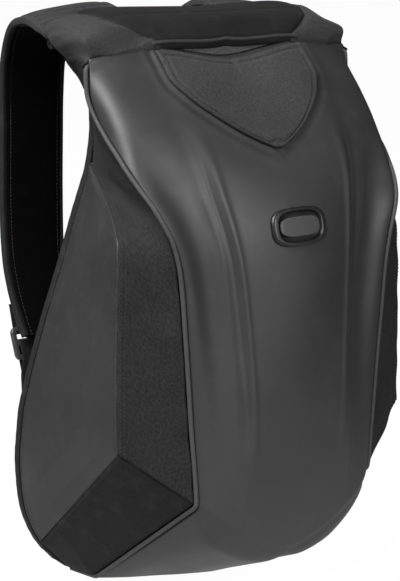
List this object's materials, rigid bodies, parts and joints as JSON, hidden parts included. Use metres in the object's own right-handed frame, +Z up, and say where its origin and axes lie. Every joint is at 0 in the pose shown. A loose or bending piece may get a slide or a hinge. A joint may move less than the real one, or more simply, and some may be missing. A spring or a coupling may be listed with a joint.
{
  "type": "hard shell backpack",
  "caption": "Moulded hard shell backpack with woven front gussets, faceted side panels, a top flap, a padded back and two padded shoulder straps.",
  "frame": {"origin": "centre of the flat base, on the floor", "axes": "+Z up, +Y towards the wearer's back, +X to the right as seen from the shell's front; the shell faces -Y"},
  "size_m": [0.336, 0.2668, 0.5085],
  "materials": {
    "shell": "satin black moulded shell",
    "front_gusset": "dark woven cloth",
    "side_panel": "smooth coated cloth",
    "bottom_gusset": "black cloth",
    "piping": "grey piping",
    "yoke": "black padded cloth",
    "collar_piping": "grey piping",
    "top_gusset": "dark grey woven cloth",
    "flap": "dark woven cloth",
    "badge_bezel": "black",
    "badge_plate": "satin grey",
    "back_panel": "black air mesh",
    "edge_binding": "black tape",
    "shoulder_strap": "black padded cloth",
    "ladder_lock": "black moulded plastic",
    "strap_webbing": "black webbing",
    "lock_tab": "black webbing"
  },
  "bodies": {
    "root": {"shell": "shell", "front_gusset_left": "front_gusset", "front_gusset_right": "front_gusset", "side_panel_left": "side_panel", "side_panel_right": "side_panel", "bottom_gusset_left": "bottom_gusset", "bottom_gusset_right": "bottom_gusset", "piping_left": "piping", "piping_right": "piping", "yoke": "yoke", "collar_piping": "collar_piping", "top_gusset": "top_gusset", "flap": "flap", "badge_bezel": "badge_bezel", "badge_plate": "badge_plate", "back_panel": "back_panel", "edge_binding": "edge_binding", "shoulder_strap_left": "shoulder_strap", "shoulder_strap_right": "shoulder_strap", "ladder_lock_left": "ladder_lock", "ladder_lock_right": "ladder_lock", "strap_webbing_left": "strap_webbing", "strap_webbing_right": "strap_webbing", "lock_tab_left": "lock_tab", "lock_tab_right": "lock_tab"}
  },
  "joints": []
}
